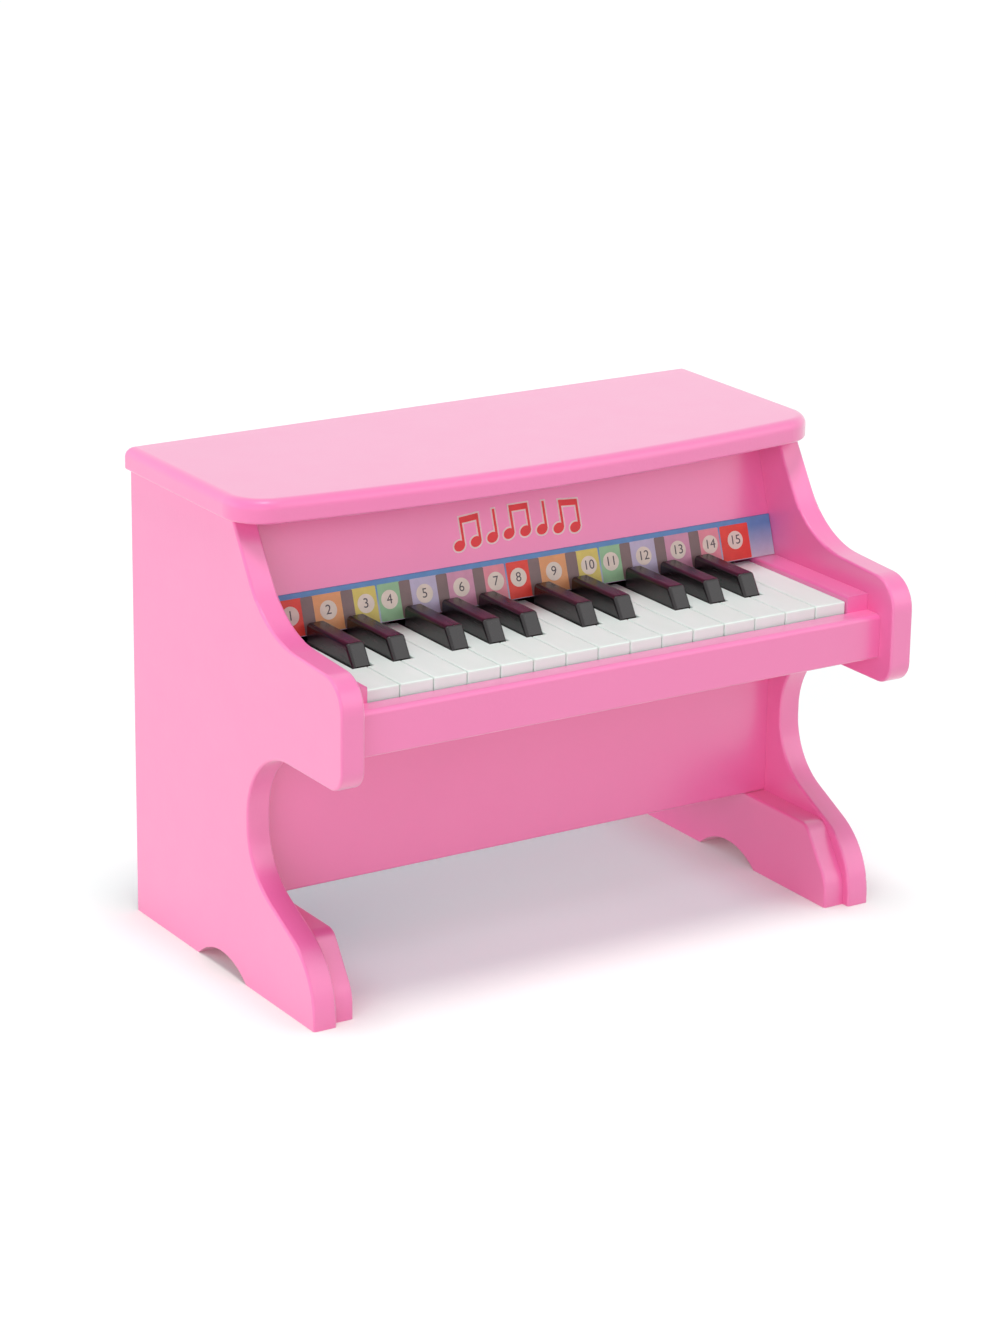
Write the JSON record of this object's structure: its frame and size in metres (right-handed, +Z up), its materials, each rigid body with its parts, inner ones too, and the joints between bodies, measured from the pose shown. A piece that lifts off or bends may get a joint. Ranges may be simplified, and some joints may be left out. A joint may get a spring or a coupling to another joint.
{
  "type": "toy piano",
  "caption": "Small painted wooden upright toy piano with hinged white and black keys, a leaning fallboard with a coloured key guide strip, and tone bars struck from inside.",
  "frame": {"origin": "on the floor, under the middle of the whole piano's box", "axes": "+X along the keyboard from low notes to high, +Y from the player to the back, +Z up"},
  "size_m": [0.4, 0.248, 0.292],
  "materials": {
    "pink_paint": "satin pink paint over fibreboard",
    "white_plastic": "gloss moulded",
    "black_plastic": "gloss moulded",
    "printed_strip": "printed label",
    "bare_wood": "bare",
    "felt": "pressed felt",
    "steel": "zinc plated",
    "aluminium_bar": "brushed"
  },
  "bodies": {
    "case": {"action_screws": "steel", "back_panel": "pink_paint", "back_panel_screws": "steel", "bottom_board": "pink_paint", "case_dowels": "bare_wood", "fallboard": "pink_paint", "key_bed": "pink_paint", "key_guide_strip": "printed_strip", "key_pivot_rod": "steel", "key_spring_comb": "steel", "key_stop_felts": "felt", "key_tail_felt": "felt", "key_tail_rail": "bare_wood", "keyslip": "pink_paint", "left_cheek_block": "pink_paint", "left_foot_block": "pink_paint", "left_side_panel": "pink_paint", "lid": "pink_paint", "lower_front_panel": "pink_paint", "right_cheek_block": "pink_paint", "right_foot_block": "pink_paint", "right_side_panel": "pink_paint", "rod_brackets": "steel", "tone_bar_pins": "steel", "tone_bars": "aluminium_bar", "tone_cleat_left": "bare_wood", "tone_cleat_right": "bare_wood", "tone_felt_front": "felt", "tone_felt_rear": "felt", "tone_rail_front": "bare_wood", "tone_rail_rear": "bare_wood"},
    "white_key_01": {"white_key_01": "white_plastic"},
    "black_key_01": {"black_key_01": "black_plastic"},
    "white_key_02": {"white_key_02": "white_plastic"},
    "black_key_02": {"black_key_02": "black_plastic"},
    "white_key_03": {"white_key_03": "white_plastic"},
    "white_key_04": {"white_key_04": "white_plastic"},
    "black_key_03": {"black_key_03": "black_plastic"},
    "white_key_05": {"white_key_05": "white_plastic"},
    "black_key_04": {"black_key_04": "black_plastic"},
    "white_key_06": {"white_key_06": "white_plastic"},
    "black_key_05": {"black_key_05": "black_plastic"},
    "white_key_07": {"white_key_07": "white_plastic"},
    "white_key_08": {"white_key_08": "white_plastic"},
    "black_key_06": {"black_key_06": "black_plastic"},
    "white_key_09": {"white_key_09": "white_plastic"},
    "black_key_07": {"black_key_07": "black_plastic"},
    "white_key_10": {"white_key_10": "white_plastic"},
    "white_key_11": {"white_key_11": "white_plastic"},
    "black_key_08": {"black_key_08": "black_plastic"},
    "white_key_12": {"white_key_12": "white_plastic"},
    "black_key_09": {"black_key_09": "black_plastic"},
    "white_key_13": {"white_key_13": "white_plastic"},
    "black_key_10": {"black_key_10": "black_plastic"},
    "white_key_14": {"white_key_14": "white_plastic"},
    "white_key_15": {"white_key_15": "white_plastic"}
  },
  "joints": [
    {"name": "white_key_01_hinge", "type": "hinge", "parent": "case", "child": "white_key_01", "pos_m": [-0.15888, 0.005, 0.19], "axis": [1, 0, 0], "range_deg": [0, 3.5], "stiffness_Nm_per_rad": 0.2, "springref_deg": -8.59, "deforming": ["key_spring_comb"]},
    {"name": "black_key_01_hinge", "type": "hinge", "parent": "case", "child": "black_key_01", "pos_m": [-0.14564, 0.005, 0.19], "axis": [1, 0, 0], "range_deg": [0, 3.5], "stiffness_Nm_per_rad": 0.2, "springref_deg": -8.59, "deforming": ["key_spring_comb"]},
    {"name": "white_key_02_hinge", "type": "hinge", "parent": "case", "child": "white_key_02", "pos_m": [-0.1324, 0.005, 0.19], "axis": [1, 0, 0], "range_deg": [0, 3.5], "stiffness_Nm_per_rad": 0.2, "springref_deg": -8.59, "deforming": ["key_spring_comb"]},
    {"name": "black_key_02_hinge", "type": "hinge", "parent": "case", "child": "black_key_02", "pos_m": [-0.11916, 0.005, 0.19], "axis": [1, 0, 0], "range_deg": [0, 3.5], "stiffness_Nm_per_rad": 0.2, "springref_deg": -8.59, "deforming": ["key_spring_comb"]},
    {"name": "white_key_03_hinge", "type": "hinge", "parent": "case", "child": "white_key_03", "pos_m": [-0.10592, 0.005, 0.19], "axis": [1, 0, 0], "range_deg": [0, 3.5], "stiffness_Nm_per_rad": 0.2, "springref_deg": -8.59, "deforming": ["key_spring_comb"]},
    {"name": "white_key_04_hinge", "type": "hinge", "parent": "case", "child": "white_key_04", "pos_m": [-0.09299, 0.005, 0.19], "axis": [1, 0, 0], "range_deg": [0, 3.5], "stiffness_Nm_per_rad": 0.2, "springref_deg": -8.59, "deforming": ["key_spring_comb"]},
    {"name": "black_key_03_hinge", "type": "hinge", "parent": "case", "child": "black_key_03", "pos_m": [-0.08039, 0.005, 0.19], "axis": [1, 0, 0], "range_deg": [0, 3.5], "stiffness_Nm_per_rad": 0.2, "springref_deg": -8.59, "deforming": ["key_spring_comb"]},
    {"name": "white_key_05_hinge", "type": "hinge", "parent": "case", "child": "white_key_05", "pos_m": [-0.06778, 0.005, 0.19], "axis": [1, 0, 0], "range_deg": [0, 3.5], "stiffness_Nm_per_rad": 0.2, "springref_deg": -8.59, "deforming": ["key_spring_comb"]},
    {"name": "black_key_04_hinge", "type": "hinge", "parent": "case", "child": "black_key_04", "pos_m": [-0.05517, 0.005, 0.19], "axis": [1, 0, 0], "range_deg": [0, 3.5], "stiffness_Nm_per_rad": 0.2, "springref_deg": -8.59, "deforming": ["key_spring_comb"]},
    {"name": "white_key_06_hinge", "type": "hinge", "parent": "case", "child": "white_key_06", "pos_m": [-0.04256, 0.005, 0.19], "axis": [1, 0, 0], "range_deg": [0, 3.5], "stiffness_Nm_per_rad": 0.2, "springref_deg": -8.59, "deforming": ["key_spring_comb"]},
    {"name": "black_key_05_hinge", "type": "hinge", "parent": "case", "child": "black_key_05", "pos_m": [-0.02995, 0.005, 0.19], "axis": [1, 0, 0], "range_deg": [0, 3.5], "stiffness_Nm_per_rad": 0.2, "springref_deg": -8.59, "deforming": ["key_spring_comb"]},
    {"name": "white_key_07_hinge", "type": "hinge", "parent": "case", "child": "white_key_07", "pos_m": [-0.01734, 0.005, 0.19], "axis": [1, 0, 0], "range_deg": [0, 3.5], "stiffness_Nm_per_rad": 0.2, "springref_deg": -8.59, "deforming": ["key_spring_comb"]},
    {"name": "white_key_08_hinge", "type": "hinge", "parent": "case", "child": "white_key_08", "pos_m": [-0.00441, 0.005, 0.19], "axis": [1, 0, 0], "range_deg": [0, 3.5], "stiffness_Nm_per_rad": 0.2, "springref_deg": -8.59, "deforming": ["key_spring_comb"]},
    {"name": "black_key_06_hinge", "type": "hinge", "parent": "case", "child": "black_key_06", "pos_m": [0.00883, 0.005, 0.19], "axis": [1, 0, 0], "range_deg": [0, 3.5], "stiffness_Nm_per_rad": 0.2, "springref_deg": -8.59, "deforming": ["key_spring_comb"]},
    {"name": "white_key_09_hinge", "type": "hinge", "parent": "case", "child": "white_key_09", "pos_m": [0.02207, 0.005, 0.19], "axis": [1, 0, 0], "range_deg": [0, 3.5], "stiffness_Nm_per_rad": 0.2, "springref_deg": -8.59, "deforming": ["key_spring_comb"]},
    {"name": "black_key_07_hinge", "type": "hinge", "parent": "case", "child": "black_key_07", "pos_m": [0.03531, 0.005, 0.19], "axis": [1, 0, 0], "range_deg": [0, 3.5], "stiffness_Nm_per_rad": 0.2, "springref_deg": -8.59, "deforming": ["key_spring_comb"]},
    {"name": "white_key_10_hinge", "type": "hinge", "parent": "case", "child": "white_key_10", "pos_m": [0.04855, 0.005, 0.19], "axis": [1, 0, 0], "range_deg": [0, 3.5], "stiffness_Nm_per_rad": 0.2, "springref_deg": -8.59, "deforming": ["key_spring_comb"]},
    {"name": "white_key_11_hinge", "type": "hinge", "parent": "case", "child": "white_key_11", "pos_m": [0.06147, 0.005, 0.19], "axis": [1, 0, 0], "range_deg": [0, 3.5], "stiffness_Nm_per_rad": 0.2, "springref_deg": -8.59, "deforming": ["key_spring_comb"]},
    {"name": "black_key_08_hinge", "type": "hinge", "parent": "case", "child": "black_key_08", "pos_m": [0.07408, 0.005, 0.19], "axis": [1, 0, 0], "range_deg": [0, 3.5], "stiffness_Nm_per_rad": 0.2, "springref_deg": -8.59, "deforming": ["key_spring_comb"]},
    {"name": "white_key_12_hinge", "type": "hinge", "parent": "case", "child": "white_key_12", "pos_m": [0.08669, 0.005, 0.19], "axis": [1, 0, 0], "range_deg": [0, 3.5], "stiffness_Nm_per_rad": 0.2, "springref_deg": -8.59, "deforming": ["key_spring_comb"]},
    {"name": "black_key_09_hinge", "type": "hinge", "parent": "case", "child": "black_key_09", "pos_m": [0.0993, 0.005, 0.19], "axis": [1, 0, 0], "range_deg": [0, 3.5], "stiffness_Nm_per_rad": 0.2, "springref_deg": -8.59, "deforming": ["key_spring_comb"]},
    {"name": "white_key_13_hinge", "type": "hinge", "parent": "case", "child": "white_key_13", "pos_m": [0.11191, 0.005, 0.19], "axis": [1, 0, 0], "range_deg": [0, 3.5], "stiffness_Nm_per_rad": 0.2, "springref_deg": -8.59, "deforming": ["key_spring_comb"]},
    {"name": "black_key_10_hinge", "type": "hinge", "parent": "case", "child": "black_key_10", "pos_m": [0.12452, 0.005, 0.19], "axis": [1, 0, 0], "range_deg": [0, 3.5], "stiffness_Nm_per_rad": 0.2, "springref_deg": -8.59, "deforming": ["key_spring_comb"]},
    {"name": "white_key_14_hinge", "type": "hinge", "parent": "case", "child": "white_key_14", "pos_m": [0.13713, 0.005, 0.19], "axis": [1, 0, 0], "range_deg": [0, 3.5], "stiffness_Nm_per_rad": 0.2, "springref_deg": -8.59, "deforming": ["key_spring_comb"]},
    {"name": "white_key_15_hinge", "type": "hinge", "parent": "case", "child": "white_key_15", "pos_m": [0.15447, 0.005, 0.19], "axis": [1, 0, 0], "range_deg": [0, 3.5], "stiffness_Nm_per_rad": 0.2, "springref_deg": -8.59, "deforming": ["key_spring_comb"]}
  ]
}
